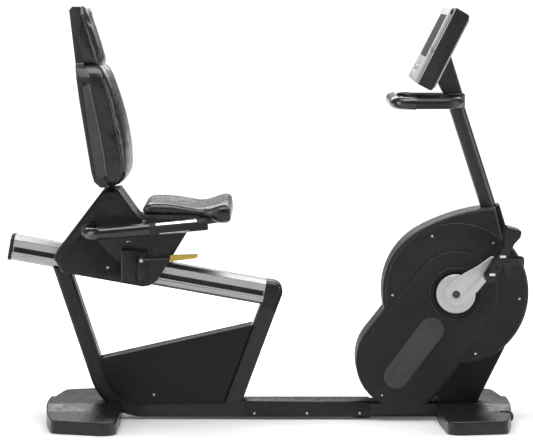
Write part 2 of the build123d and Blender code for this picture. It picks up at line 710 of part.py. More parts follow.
# ---------------------------------------------------------------- handlebar and console
with BuildPart() as mast_boss:
    with BuildSketch(Plane.XY.offset(BAR_Z - 26)):
        with Locations((606, 0)):
            RectangleRounded(74, 92, 22)
    extrude(amount=52)
    fillet(edges().group_by(Axis.Z)[-1] + edges().group_by(Axis.Z)[0], 8)
    with BuildSketch(mast_plane):
        Circle(MAST_R + RUN)
    extrude(amount=700, mode=Mode.SUBTRACT)
with BuildPart() as handlebar:
    with BuildLine() as bar_line:
        FilletPolyline(
            (BAR_X1, -46.2, BAR_Z), (BAR_X1, -BAR_Y, BAR_Z), (BAR_X0, -BAR_Y, BAR_Z),
            (BAR_X0, BAR_Y, BAR_Z), (BAR_X1, BAR_Y, BAR_Z), (BAR_X1, 46.2, BAR_Z), radius=BAR_BEND,
        )
    with BuildSketch(Plane(origin=(BAR_X1, -46.2, BAR_Z), x_dir=(1, 0, 0), z_dir=(0, -1, 0))):
        Circle(BAR_R)
        Circle(BAR_R - WALL, mode=Mode.SUBTRACT)
    sweep()
GRIP_T = 2
with BuildPart() as handlebar_grip:
    with BuildLine() as sleeve_line:
        FilletPolyline(
            (BAR_X0 + 62, -BAR_Y, BAR_Z), (BAR_X0, -BAR_Y, BAR_Z),
            (BAR_X0, BAR_Y, BAR_Z), (BAR_X0 + 62, BAR_Y, BAR_Z), radius=BAR_BEND,
        )
    with BuildSketch(Plane(origin=(BAR_X0 + 62, -BAR_Y, BAR_Z), x_dir=(0, 1, 0), z_dir=(-1, 0, 0))):
        Circle(BAR_R + GRIP_T)
        Circle(BAR_R + 0.1, mode=Mode.SUBTRACT)
    sweep()

tilt_s, tilt_c = sin(radians(CON_TILT)), cos(radians(CON_TILT))
CON_UP = Vector(tilt_s, 0, tilt_c)
CON_BACK = Vector(tilt_c, 0, -tilt_s)
con_side = Plane(origin=at(CON_X, CON_Z), x_dir=CON_BACK, z_dir=(0, -1, 0))
con_face = Plane(origin=at(CON_X, CON_Z), x_dir=(0, -1, 0), z_dir=-CON_BACK)
SCREEN_W, SCREEN_H, SCREEN_V = 300, 150, 158
KEY_V, KEY_R, KEY_YS = 42, 11, {"down_key": 70, "stop_key": 0, "up_key": -70}
with BuildPart() as console_front:
    with BuildSketch(con_side):
        with BuildLine():
            Polyline((0, 0), (CON_FRONT, -5), (CON_FRONT, 267), (0, CON_H), close=True)
        make_face()
        fillet(vertices().group_by(Axis.X)[0], 7)
    extrude(amount=CON_W / 2, both=True)
    fillet(faces().sort_by(Axis((0, 0, 0), -CON_BACK))[-1].edges(), 3)
    with BuildSketch(con_face.offset(-3)):
        with Locations((0, SCREEN_V)):
            RectangleRounded(SCREEN_W, SCREEN_H, 8)
        for y in KEY_YS.values():
            with Locations((y, KEY_V)):
                Circle(KEY_R + 0.25)
    extrude(amount=12, mode=Mode.SUBTRACT)
    with BuildSketch(con_side):
        with Locations((8, 12)):
            Rectangle(CON_FRONT - 8, CON_H - 22, align=(Align.MIN, Align.MIN))
    extrude(amount=CON_W / 2 - 10, both=True, mode=Mode.SUBTRACT)
    with BuildSketch(con_face.offset(-14)):
        for y in KEY_YS.values():
            with Locations((y, KEY_V)):
                Circle(4.3)
    extrude(amount=12, mode=Mode.SUBTRACT)
    with BuildSketch(con_side.offset(CON_W / 2 - 4)):
        with Locations((7, 249)):
            SlotOverall(17, 6, rotation=90)
    extrude(amount=10, mode=Mode.SUBTRACT)
with BuildPart() as console_rear:
    with BuildSketch(con_side):
        with BuildLine():
            Polyline(
                (CON_FRONT + 0.2, -5), (CON_DEPTH, -6), (CON_DEPTH, 258), (CON_DEPTH - 6, 264),
                (CON_FRONT + 0.2, 267), close=True,
            )
        make_face()
        fillet(vertices().sort_by_distance((CON_DEPTH, -6))[0], 9)
    extrude(amount=CON_W / 2 - 1, both=True)
    with BuildSketch(con_side):
        with BuildLine():
            Polyline(
                (CON_FRONT - 5, 2), (CON_DEPTH - 5, 2), (CON_DEPTH - 5, 252), (CON_FRONT - 5, 256),
                close=True,
            )
        make_face()
    extrude(amount=CON_W / 2 - 6, both=True, mode=Mode.SUBTRACT)
with BuildPart() as console_back_plate:
    with BuildSketch(con_side):
        with BuildLine():
            Polyline(
                (CON_DEPTH + 0.2, 6), (CON_DEPTH + 5, 10), (CON_DEPTH + 5, 248), (CON_DEPTH + 0.2, 254),
                close=True,
            )
        make_face()
    extrude(amount=CON_W / 2 - 4, both=True)
with BuildPart() as console_screen:
    with BuildSketch(con_face.offset(-3)):
        with Locations((0, SCREEN_V)):
            RectangleRounded(SCREEN_W - 0.6, SCREEN_H - 0.6, 7.7)
    extrude(amount=2.6)
key_parts = {}
for name, y in KEY_YS.items():
    with BuildPart() as key:
        with BuildSketch(con_face.offset(-0.6)):
            with Locations((y, KEY_V)):
                Circle(KEY_R)
        extrude(amount=3)
        chamfer(faces().sort_by(Axis((0, 0, 0), -CON_BACK))[-1].edges(), 0.8)
        with BuildSketch(con_face.offset(-14)):
            with Locations((y, KEY_V)):
                Circle(4)
        extrude(amount=13.5)
    key_parts[name] = key
with BuildPart() as console_neck:
    with BuildSketch(side(0)):
        with BuildLine():
            Polyline((574, 1070), (636, 1070), (598, 1190), (575, 1194), (548, 1118), close=True)
        make_face()
    extrude(amount=31, both=True)
    with BuildSketch(con_side):
        with Locations((0, 130)):
            Rectangle(CON_DEPTH + 5.2, 400, align=(Align.MIN, Align.CENTER))
    extrude(amount=60, both=True, mode=Mode.SUBTRACT)
    split(bisect_by=Plane.XY.offset(BAR_Z + 26.2), keep=Keep.TOP)
    fillet(edges().filter_by(lambda e: abs(e.center().Y) > 30 and e.center().X > 612 and e.length > 90), 8)
    with BuildSketch(mast_plane):
        Circle(MAST_R + 0.1)
    extrude(amount=MAST_L + 0.1, mode=Mode.SUBTRACT)


# ---------------------------------------------------------------- seat carriage
case_top_x = -245
with BuildSketch() as case_outline:
    with BuildLine():
        Polyline(
            (-537, 758), (-484, 762), (-434, 691), (-407, 657), (case_top_x, 652), (-301, 560), (-360, 466),
            (-383, 450), (-406, 446), (-668, 493), (-697, 540), (-681, 570), close=True,
        )
    make_face()
    fillet(vertices().sort_by(Axis.Y)[:2], 14)
    fillet(vertices().sort_by(Axis.X)[:3], 12)
slot_h = RAIL_H + 3
with BuildPart() as casing_right:
    with BuildSketch(side(0)):
        add(case_outline.sketch)
    extrude(amount=CASE_Y)
    fillet(faces().sort_by(Axis.Y)[0].edges(), 8)
    with BuildSketch(side(0)):
        add(case_outline.sketch)
        offset(amount=-CASE_WALL, kind=Kind.INTERSECTION)
    extrude(amount=CASE_Y - 5, mode=Mode.SUBTRACT)
    with BuildSketch(rail_end.offset(-50)):
        with Locations((0, slot_h)):
            Rectangle(101, 200, align=(Align.CENTER, Align.MAX))
    extrude(amount=1000, mode=Mode.SUBTRACT)
    with BuildSketch(Plane.XY.offset(640)):
        with Locations((-515, 0)):
            Rectangle(40, 62)
        with Locations((-319, 0)):
            Rectangle(126, 122)
    extrude(amount=140, mode=Mode.SUBTRACT)
    with BuildSketch(side(-90)):
        with Locations((LOCK_X, LOCK_Z)):
            Circle(6)
        with Locations((-579, 628)):
            Circle(GRIP_R - 4.9)
    extrude(amount=40, mode=Mode.SUBTRACT)
with BuildPart() as casing_left:
    mirror(casing_right.part, about=Plane.XZ)

SADDLE_0, SADDLE_L = 385, 250
with BuildPart() as saddle:
    with BuildSketch(rail_end.offset(SADDLE_0)):
        with BuildLine():
            half_saddle = Polyline((0, 84.5), (52.5, 84.5), (52.5, 12), (60, 12), (60, 92), (0, 92))
            mirror(half_saddle, about=Plane.YZ)
        make_face()
    extrude(amount=SADDLE_L)
    with BuildSketch(rail_end.offset(SADDLE_0 - 38)):
        with Locations((0, 88.25)):
            Rectangle(120, 7.5)
    extrude(amount=38)
    with BuildSketch(side(-30)):
        with Locations((LOCK_X, LOCK_Z)):
            Circle(5 + RUN)
    extrude(amount=40, mode=Mode.SUBTRACT)
with BuildPart() as glide_pads:
    for along in (SADDLE_0 + 26, SADDLE_0 + SADDLE_L - 26):
        with Locations(Plane(origin=at(*on_rail(along, 82.3)), x_dir=RAIL_BACK, z_dir=RAIL_UP)):
            Box(44, 48, 4)
        for y in (-48.9, 48.9):
            with Locations(Plane(origin=at(*on_rail(along, 55), y), x_dir=RAIL_BACK, z_dir=RAIL_UP)):
                Box(44, 7, 16)

POST_TILT = 10.0
post_foot = at(-486, 592)
post_dir = Vector(-sin(radians(POST_TILT)), 0, cos(radians(POST_TILT)))
POST_L, POST_D, POST_W = 500, 34, 60
with BuildPart() as backrest_post:
    with BuildSketch(Plane(origin=post_foot, x_dir=(0, 1, 0), z_dir=post_dir)):
        RectangleRounded(POST_W, POST_D, 10)
        RectangleRounded(POST_W - 2 * WALL, POST_D - 2 * WALL, 7, mode=Mode.SUBTRACT)
    extrude(amount=POST_L)
    split(bisect_by=Plane(origin=at(*on_rail(0, 92)), z_dir=RAIL_UP), keep=Keep.TOP)
with BuildPart() as seat_bracket:
    with BuildSketch(side(0)) as bracket_side:
        with BuildLine():
            Polyline(
                (-380, 480), (-360, 480), (-306, 574), (-258, 648), (-258, 658), (-380, 658), close=True,
            )
        make_face()
    extrude(amount=60, both=True)
    with BuildSketch(side(0)):
        add(bracket_side.sketch)
        offset(amount=-4, mode=Mode.REPLACE)
    extrude(amount=56, both=True, mode=Mode.SUBTRACT)
    split(bisect_by=Plane(origin=at(*on_rail(0, 92)), z_dir=RAIL_UP), keep=Keep.TOP)

with BuildPart() as lock_box:
    with BuildSketch(Plane.XY.offset(470)):
        with BuildLine():
            Polyline(
                (-475, -CASE_Y), (-475, -139), (-470, -144), (-428, -144), (-423, -119), (-390, -114),
                (-390, -CASE_Y), close=True,
            )
        make_face()
    extrude(amount=98)
    with BuildSketch(Plane.XY.offset(474)):
        with BuildLine():
            Polyline((-471, -100), (-471, -140), (-431, -140), (-427, -100), close=True)
        make_face()
    extrude(amount=90, mode=Mode.SUBTRACT)
    with Locations(Location(at(LEVER_X, LEVER_Z, -123), (90, 0, 0))):
        Cylinder(4.02, 40, mode=Mode.SUBTRACT)
with BuildPart() as lock_pin:
    with Locations(Location(at(LOCK_X, LOCK_Z, -87), (90, 0, 0))):
        Cylinder(5, 86)
    with Locations(Location(at(LOCK_X, LOCK_Z, -118), (90, 0, 0))):
        Cylinder(9, 4)

rod_plane = Plane(origin=at(LEVER_X + 6, LEVER_Z + 0.5, -126), x_dir=(0, 1, 0), z_dir=(0.9963, 0, 0.0862))
with BuildPart() as lever_rod:
    with Locations(Location(at(LEVER_X, LEVER_Z, -126), (90, 0, 0))):
        Cylinder(9, 11)
    with BuildSketch(rod_plane):
        Circle(3.6)
    extrude(amount=105)
    with Locations(Location(at(LEVER_X, LEVER_Z, -126), (90, 0, 0))):
        Cylinder(4 + RUN, 20, mode=Mode.SUBTRACT)
with BuildPart() as lever_grip:
    with BuildSketch(side(-118)):
        with BuildLine():
            Polyline((-316, 532), (-232, 543), (-226, 549), (-228, 556), (-316, 553), close=True)
        make_face()
        fillet(vertices(), 2.5)
    extrude(amount=16)
    fillet(faces().sort_by(Axis.Y)[0].edges() + faces().sort_by(Axis.Y)[-1].edges(), 2)
    with BuildSketch(rod_plane):
        Circle(3.62)
    extrude(amount=105.1, mode=Mode.SUBTRACT)
with BuildPart() as lever_screw:
    with Locations(Location(at(LEVER_X, LEVER_Z, -123.5), (90, 0, 0))):
        Cylinder(4, 18)
    with Locations(Location(at(LEVER_X, LEVER_Z, -134), (90, 0, 0))):
        Cylinder(6, 3)

with BuildPart() as casing_screws:
    with BuildSketch(side(-CASE_Y)):
        with Locations((-520, 510)):
            Circle(5)
        with Locations((-456, 594), (-449, 595)):
            Circle(3)
    extrude(amount=1.6)
    mirror(about=Plane.XZ)
with BuildPart() as pivot_caps:
    with BuildSketch(side(-CASE_Y)):
        with Locations((-508, 706)):
            Circle(30)
    extrude(amount=1.2)
    chamfer(faces().sort_by(Axis.Y)[0].edges(), 0.8)
    mirror(about=Plane.XZ)


# ---------------------------------------------------------------- side handles
handle_root, handle_tip = Vector(-579, -CASE_Y, 628), Vector(-192, -HANDLE_Y, 664)
handle_elbow = Vector(-579, -HANDLE_Y, 628)
run_dir = (handle_tip - handle_elbow).normalized()
SLEEVE_L, CORE_R = 186, 15
sleeve_start = handle_tip - run_dir * SLEEVE_L
sleeve_plane = Plane(origin=sleeve_start, x_dir=(0, 1, 0), z_dir=run_dir)
with BuildPart() as handle_right:
    with BuildLine():
        FilletPolyline(handle_root, handle_elbow, sleeve_start, radius=58)
    with BuildSketch(Plane(origin=handle_root, x_dir=(1, 0, 0), z_dir=(0, -1, 0))):
        Circle(GRIP_R)
        Circle(GRIP_R - WALL, mode=Mode.SUBTRACT)
    sweep()
    with BuildSketch(Plane(origin=handle_root, x_dir=(1, 0, 0), z_dir=(0, -1, 0))):
        Circle(28)
        Circle(GRIP_R - WALL, mode=Mode.SUBTRACT)
    extrude(amount=4)
    with BuildSketch(sleeve_plane):
        Circle(CORE_R)
        Circle(CORE_R - WALL, mode=Mode.SUBTRACT)
    extrude(amount=SLEEVE_L - 12)
    with BuildSketch(sleeve_plane.offset(-4)):
        Circle(GRIP_R - 1)
        Circle(CORE_R - WALL, mode=Mode.SUBTRACT)
    extrude(amount=4)
with BuildPart() as grip_right:
    with BuildSketch(sleeve_plane.offset(0.2)):
        Circle(GRIP_R)
    extrude(amount=SLEEVE_L)
    fillet(faces().sort_by(Axis.X)[-1].edges(), 5)
    with BuildSketch(sleeve_plane):
        Circle(CORE_R + RUN)
    extrude(amount=SLEEVE_L - 11, mode=Mode.SUBTRACT)
with BuildPart() as handle_left:
    mirror(handle_right.part, about=Plane.XZ)
with BuildPart() as grip_left:
    mirror(grip_right.part, about=Plane.XZ)

with BuildPart() as hand_sensors:
    for start, length, width, rise in ((22, 130, 32, Align.MIN), (30, 95, 26, Align.MAX)):
        with BuildSketch(sleeve_plane.offset(start)):
            Circle(GRIP_R + 1)
            Circle(GRIP_R + RUN, mode=Mode.SUBTRACT)
            Rectangle(width, 40, align=(Align.CENTER, rise), mode=Mode.INTERSECT)
        extrude(amount=length)
    mirror(about=Plane.XZ)


# ---------------------------------------------------------------- seat and backrest
with BuildPart() as seat_shell:
    with BuildSketch(side(0)):
        with BuildLine():
            Polyline(
                (-404, 690), (-402, 676), (-384, 658), (-190, 658), (-160, 662), (-158, 666), (-232, 690),
                close=True,
            )
        make_face()
    extrude(amount=172, both=True)
with BuildPart() as seat_cushion:
    with BuildSketch(side(0)):
        with BuildLine():
            Polyline((-158, 666.4), (-232, 690.4), (-396, 690.4), (-409, 701), (-404, 716), (-384, 727))
            Spline((-384, 727), (-300, 724), (-228, 712), (-170, 722), (-128, 727))
            Polyline((-128, 727), (-115, 715), (-115, 676), (-122, 668), (-148, 662.5), (-158, 666.4))
        make_face()
    extrude(amount=240, both=True)
    with BuildSketch(Plane.XY.offset(640)):
        with BuildLine():
            Polyline(
                (-420, -188), (-200, -196), (-172, -226), (-105, -236), (-105, 236), (-172, 226), (-200, 196),
                (-420, 188), close=True,
            )
        make_face()
        fillet(vertices().group_by(Axis.X)[0], 40)
        fillet(vertices().group_by(Axis.X)[-1], 22)
    extrude(amount=120, mode=Mode.INTERSECT)

with BuildSketch() as back_outline:
    with BuildLine():
        half_back = Polyline(
            (0, 700), (176, 700), (176, 1128), (160, 1156), (126, 1172), (126, 1400), (0, 1400),
        )
        mirror(half_back, about=Plane.YZ)
    make_face()
    fillet(vertices().filter_by(lambda v: 1120 < v.Y < 1180), 12)


def back_piece(*profile):
    """Backrest piece: its side profile cut to the front outline, with room for the post."""
    with BuildPart() as piece:
        with BuildSketch(side(0)):
            with BuildLine():
                Polyline(*profile, close=True)
            make_face()
        extrude(amount=200, both=True)
        with BuildSketch(Plane.YZ.offset(-700)):
            add(back_outline.sketch)
        extrude(amount=400, mode=Mode.INTERSECT)
        with BuildSketch(Plane(origin=post_foot, x_dir=(0, 1, 0), z_dir=post_dir)):
            Rectangle(POST_W + 0.6, POST_D + 0.6)
        extrude(amount=POST_L + 2, mode=Mode.SUBTRACT)
    return piece


backrest_shell = back_piece(
    (-515, 775.5), (-514, 849), (-526, 929), (-548, 1041), (-570, 1134), (-591, 1168), (-599, 1248),
    (-603, 1328), (-601, 1354), (-628, 1355), (-638, 1343), (-618, 1169), (-604, 1058), (-587, 945),
    (-567, 827), (-558, 794), (-538, 775.5),
)
backrest_pad = back_piece(
    (-514.6, 775.5), (-513.6, 849), (-525.6, 929), (-547.6, 1041), (-569.6, 1134.2), (-590.6, 1168.2),
    (-598.6, 1248), (-602.6, 1328), (-600.6, 1355), (-584, 1357), (-575, 1344), (-552, 1240), (-533, 1168),
    (-519, 1148), (-486, 1050), (-460, 950), (-451, 862), (-455, 818), (-470, 790), (-490, 775.5),
)


# ---------------------------------------------------------------- frame screws
with BuildPart() as frame_screws:
    with BuildSketch(side(-50)):
        with Locations((-44, 22), (129, 22), (302, 22)):
            Circle(4)
    extrude(amount=1.5)
    with BuildSketch(side(-BEAM_W / 2 - 0.2 - PANEL_T)):
        with Locations((-374, 83)):
            Circle(4)
    extrude(amount=1.5)
    mirror(about=Plane.XZ)


# ---------------------------------------------------------------- export
groups = {
    "base_beam": [base_beam],
    "rear_leg": [rear_leg],
    "front_leg": [front_leg],
    "rail_caps": [corner_cap, rail_end_cap],
    "infill_panels": [infill_panel_right, infill_panel_left, infill_top],
    "step_cover": [step_cover],
    "rear_foot": [rear_foot],
    "front_foot": [front_foot, wheel_axles],
    "foot_pads": [foot_pads, beam_bumper],
    "rail": [rail],
    "gear_racks": [gear_racks],
    "pedestal": [pedestal],
    "mast": [mast],
    "mast_shroud": [mast_shroud],
    "drive_frame": [drive_frame],
    "bearings": [crank_bearings, generator_bearing],
    "cover_right": [cover_right],
    "cover_left": [cover_left],
    "belt_covers": [belt_cover_right, belt_cover_left],
    "badges": [badges],
    "frame_screws": [cover_screws, frame_screws],
    "crank_axle": [crank_axle],
    "crank_arms": [arm_parts["right"], arm_parts["left"], pedal_spindles],
    "crank_bolts": [crank_bolts],
    "drive_pulley": [drive_pulley],
    "generator_rotor": [generator_rotor],
    "generator_shaft": [generator_shaft],
    "drive_belt": [drive_belt],
    "idler_roller": [idler_roller],
    "handlebar": [handlebar, mast_boss],
    "handlebar_grip": [handlebar_grip],
    "console_front": [console_front, console_back_plate],
    "console_rear": [console_rear],
    "console_screen": [console_screen],
    "console_neck": [console_neck],
    "casing_right": [casing_right],
    "casing_left": [casing_left],
    "carriage_frame": [saddle, backrest_post, seat_bracket],
    "glide_pads": [glide_pads],
    "lock_box": [lock_box],
    "lock_pin": [lock_pin],
    "lever_rod": [lever_rod],
    "lever_grip": [lever_grip],
    "casing_fixings": [casing_screws, lever_screw, pivot_caps],
    "side_handles": [handle_right, handle_left],
    "side_grips": [grip_right, grip_left],
    "hand_sensors": [hand_sensors],
    "seat_shell": [seat_shell],
    "seat_cushion": [seat_cushion],
    "backrest_shell": [backrest_shell],
    "backrest_pad": [backrest_pad],
}
for label in ("right", "left"):
    groups[f"pedal_{label}"] = [pedal_parts[f"pedal_{label}"]]
    groups[f"strap_{label}"] = [pedal_parts[f"strap_{label}"], pedal_parts[f"strap_pins_{label}"]]
    groups[f"wheel_{label}"] = [wheel_parts[label]]
for label in KEY_YS:
    groups[label] = [key_parts[label]]

os.makedirs("parts", exist_ok=True)
for name, members in groups.items():
    with BuildPart() as node:
        for member in members:
            add(member.part)
    node.part.label = name
    export_step(node.part, f"parts/{name}.step")
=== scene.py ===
import json
import math

import bmesh
import bpy
from mathutils import Matrix, Vector

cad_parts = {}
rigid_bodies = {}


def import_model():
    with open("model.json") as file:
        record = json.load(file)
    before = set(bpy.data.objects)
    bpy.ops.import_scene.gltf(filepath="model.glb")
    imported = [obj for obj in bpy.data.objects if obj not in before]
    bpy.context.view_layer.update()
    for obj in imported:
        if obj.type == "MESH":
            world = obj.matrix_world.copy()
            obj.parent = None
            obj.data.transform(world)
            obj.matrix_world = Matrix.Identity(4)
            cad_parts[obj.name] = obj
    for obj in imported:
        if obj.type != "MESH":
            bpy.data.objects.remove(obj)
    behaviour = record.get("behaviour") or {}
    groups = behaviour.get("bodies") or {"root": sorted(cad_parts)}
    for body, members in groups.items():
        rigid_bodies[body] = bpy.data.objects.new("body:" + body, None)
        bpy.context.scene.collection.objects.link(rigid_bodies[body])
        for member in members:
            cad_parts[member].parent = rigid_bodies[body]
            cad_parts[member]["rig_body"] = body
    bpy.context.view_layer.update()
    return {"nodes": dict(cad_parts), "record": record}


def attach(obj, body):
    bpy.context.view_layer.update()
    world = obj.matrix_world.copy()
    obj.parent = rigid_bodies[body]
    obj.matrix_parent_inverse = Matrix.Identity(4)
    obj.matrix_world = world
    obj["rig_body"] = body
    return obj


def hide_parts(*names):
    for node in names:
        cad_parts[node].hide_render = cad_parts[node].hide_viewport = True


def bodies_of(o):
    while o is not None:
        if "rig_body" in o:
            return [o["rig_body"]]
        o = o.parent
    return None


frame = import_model()
nodes = frame["nodes"]
scene = bpy.context.scene
scene.view_settings.view_transform = "Standard"


# ---------------------------------------------------------------- materials
def link(tree, a, b):
    tree.links.new(a, b)


def material(name, colour, rough, metal=0.0, tone=0.18, grain=0.25, grain_scale=1500, edge_wear_and_highlight=0.3, spec=0.5,
             coat=0.0, stretch=(1, 1, 1), turn=0.0, cell=0.0, rough_span=0.1):
    """Principled surface with drifting tone, roughness patches, fine grain and lighter edges: worn edges, and
    on the gear racks a painted highlight along the teeth.
    """
    m = bpy.data.materials.new(name)
    m.use_nodes = True
    t = m.node_tree
    new = t.nodes.new
    shader = t.nodes["Principled BSDF"]
    shader.inputs["Metallic"].default_value = metal
    shader.inputs["Specular IOR Level"].default_value = spec
    shader.inputs["Coat Weight"].default_value = coat
    shader.inputs["Coat Roughness"].default_value = 0.12
    where = new("ShaderNodeTexCoord")
    mapping = new("ShaderNodeMapping")
    mapping.inputs["Rotation"].default_value = (0, turn, 0)
    mapping.inputs["Scale"].default_value = stretch
    link(t, where.outputs["Object"], mapping.inputs["Vector"])

    def field(scale, detail=3.0, mapped=False):
        n = new("ShaderNodeTexNoise")
        n.inputs["Scale"].default_value = scale
        n.inputs["Detail"].default_value = detail
        link(t, (mapping.outputs["Vector"] if mapped else where.outputs["Object"]), n.inputs["Vector"])
        return n.outputs["Fac"]

    def span(value, low, high, from_low=0.3, from_high=0.7):
        n = new("ShaderNodeMapRange")
        n.inputs["From Min"].default_value = from_low
        n.inputs["From Max"].default_value = from_high
        n.inputs["To Min"].default_value = low
        n.inputs["To Max"].default_value = high
        link(t, value, n.inputs["Value"])
        return n.outputs["Result"]

    def mix(factor, a, b):
        n = new("ShaderNodeMix")
        n.data_type = "RGBA"
        link(t, factor, n.inputs["Factor"])
        for socket, value in ((n.inputs[6], a), (n.inputs[7], b)):
            if isinstance(value, tuple):
                socket.default_value = (*value, 1)
            else:
                link(t, value, socket)
        return n.outputs[2]

    dark = tuple(c * (1 - tone) for c in colour)
    light = tuple(min(1.0, c * (1 + tone)) for c in colour)
    tint = mix(span(field(7, 5), 0, 1), dark, light)
    fine = span(field(grain_scale * 0.35, 2, True), 0, 1, 0.35, 0.65)
    tint = mix(span(fine, 0, 0.35, 0, 1), tint, tuple(c * 0.7 for c in colour))
    # Edges lighten with pointiness: real wear, and where the value is raised, as on the gear racks, a painted
    # highlight.
    if edge_wear_and_highlight:
        geometry = new("ShaderNodeNewGeometry")
        edge = span(geometry.outputs["Pointiness"], 0, edge_wear_and_highlight, 0.52, 0.62)
        tint = mix(edge, tint, tuple(min(1.0, c * 2.2 + 0.03) for c in colour))
    link(t, tint, shader.inputs["Base Color"])
    roughness = span(field(45, 4), max(0.03, rough - rough_span), min(1, rough + rough_span))
    link(t, roughness, shader.inputs["Roughness"])
    height = field(grain_scale, 2, True)
    if cell:
        v = new("ShaderNodeTexVoronoi")
        v.feature = "F1"
        v.inputs["Scale"].default_value = cell
        link(t, where.outputs["Object"], v.inputs["Vector"])
        height = mix(span(field(grain_scale, 2), 0.25, 0.45), v.outputs["Distance"], height)
    bump = new("ShaderNodeBump")
    bump.inputs["Strength"].default_value = grain
    bump.inputs["Distance"].default_value = 0.0004
    link(t, height, bump.inputs["Height"])
    link(t, bump.outputs["Normal"], shader.inputs["Normal"])
    return m


RAIL_TURN = math.radians(10.15)
PAINT = material("paint_dark_grey", (0.0085, 0.0088, 0.009), 0.36, spec=0.35, grain=0.15, grain_scale=2600)
PANEL = material("paint_panel", (0.0085, 0.0088, 0.009), 0.5, spec=0.2, grain=0.15, grain_scale=2600)
FOOT = material("foot_satin", (0.0095, 0.0098, 0.01), 0.34, spec=0.5, grain=0.15, grain_scale=1700)
MOULDED = material("moulded_charcoal", (0.0115, 0.0118, 0.012), 0.5, spec=0.3, grain=0.6, grain_scale=2200,
                   cell=1500)
MOULDED_SOFT = material("moulded_belt_cover", (0.0105, 0.0108, 0.011), 0.56, spec=0.28, grain=0.6,
                        grain_scale=2200,
                        cell=1500)
CASE = material("casing_plastic", (0.0075, 0.0077, 0.0079), 0.32, spec=0.35, grain=0.25, grain_scale=2000,
                cell=1800)
SHELL = material("seat_shell_plastic", (0.02, 0.0205, 0.021), 0.34, spec=0.4, grain=0.15, grain_scale=1800,
                 cell=1600)
BLACK = material("black_plastic", (0.008, 0.008, 0.0085), 0.42, spec=0.4, grain=0.35, grain_scale=1500)
GLOSS = material("gloss_black", (0.006, 0.006, 0.0065), 0.16, spec=0.5, grain=0.05, edge_wear_and_highlight=0.1, coat=0.3)
HANDLE = material("handle_gloss", (0.009, 0.0093, 0.0095), 0.22, spec=0.5, grain=0.12, grain_scale=900,
                  edge_wear_and_highlight=0.15,
                  coat=0.25)
RUBBER = material("rubber", (0.01, 0.01, 0.0105), 0.66, spec=0.3, grain=0.5, grain_scale=1400)
BADGE = material("badge_grey", (0.05, 0.052, 0.053), 0.45, spec=0.35, grain=0.2, grain_scale=2000)
VINYL = material("vinyl", (0.009, 0.0092, 0.0095), 0.3, spec=0.5, grain=0.04, grain_scale=900, edge_wear_and_highlight=0)
# Piping: real seam beads, painted lighter than the vinyl as the highlight along them.
SEAM_WITH_HIGHLIGHT = material("vinyl_seam_highlight", (0.05, 0.051, 0.052), 0.35, spec=0.5, grain=0.1, edge_wear_and_highlight=0)
# Dark for grooves, seams and slots, and as painted shade in the gap round the crank disc.
GROOVE_AND_GAP_SHADE = material("groove_and_gap_shade", (0.003, 0.003, 0.0032), 0.6, spec=0.2, grain=0.1, edge_wear_and_highlight=0)
# Light beads painted as highlights along the drive cover's edges and the hub recess rim.
RIM_HIGHLIGHT = material("rim_light_line", (0.06, 0.061, 0.062), 0.3, spec=0.5, grain=0.1, edge_wear_and_highlight=0)
# Light bead painted as the highlight on the backrest shell's rounded front edge.
SHELL_EDGE_HIGHLIGHT = material("shell_edge_highlight", (0.07, 0.072, 0.074), 0.3, spec=0.5, grain=0.1, edge_wear_and_highlight=0)
SHELL_SIDE = material("shell_side_panel", (0.045, 0.048, 0.05), 0.4, spec=0.4, grain=0.1, edge_wear_and_highlight=0)
WHITE = material("reflector_white", (0.75, 0.76, 0.76), 0.25, spec=0.5, tone=0.05, grain=0.05, edge_wear_and_highlight=0)
RAIL = material("anodised_rail", (0.46, 0.465, 0.47), 0.34, metal=1.0, tone=0.05, grain=0.03, grain_scale=700,
                stretch=(0.02, 1, 1), turn=-RAIL_TURN, edge_wear_and_highlight=0, rough_span=0.04)
# Gear racks: the raised edge value paints a highlight along the teeth.
RACK = material("rack_black", (0.004, 0.004, 0.0045), 0.5, spec=0.4, grain=0.1, edge_wear_and_highlight=0.6)
STEEL = material("machined_steel", (0.52, 0.53, 0.54), 0.3, metal=1.0, tone=0.1, grain=0.2, grain_scale=1400)
DARK_STEEL = material("blackened_steel", (0.02, 0.02, 0.021), 0.5, metal=0.4, tone=0.3, grain=0.4,
                      grain_scale=900)
SILVER = material("cast_silver", (0.58, 0.59, 0.59), 0.42, metal=0.55, tone=0.05, grain=0.18,
                  grain_scale=2200)
SENSOR = material("sensor_steel", (0.72, 0.73, 0.73), 0.18, metal=1.0, tone=0.05, grain=0.08, stretch=(0.03,
                  1, 1))
CONSOLE = material("console_silver", (0.4, 0.41, 0.415), 0.38, metal=0.3, tone=0.05, grain=0.06,
                   grain_scale=2400)
SCREEN = material("screen_glass", (0.004, 0.0045, 0.005), 0.06, spec=0.5, grain=0.0, tone=0.3, edge_wear_and_highlight=0,
                  coat=0.6)
YELLOW = material("yellow_plastic", (0.52, 0.38, 0.05), 0.38, spec=0.45, tone=0.1, grain=0.3,
                  grain_scale=1600)
SCREW = material("zinc_screw", (0.62, 0.63, 0.63), 0.3, metal=1.0, tone=0.1, grain=0.15)

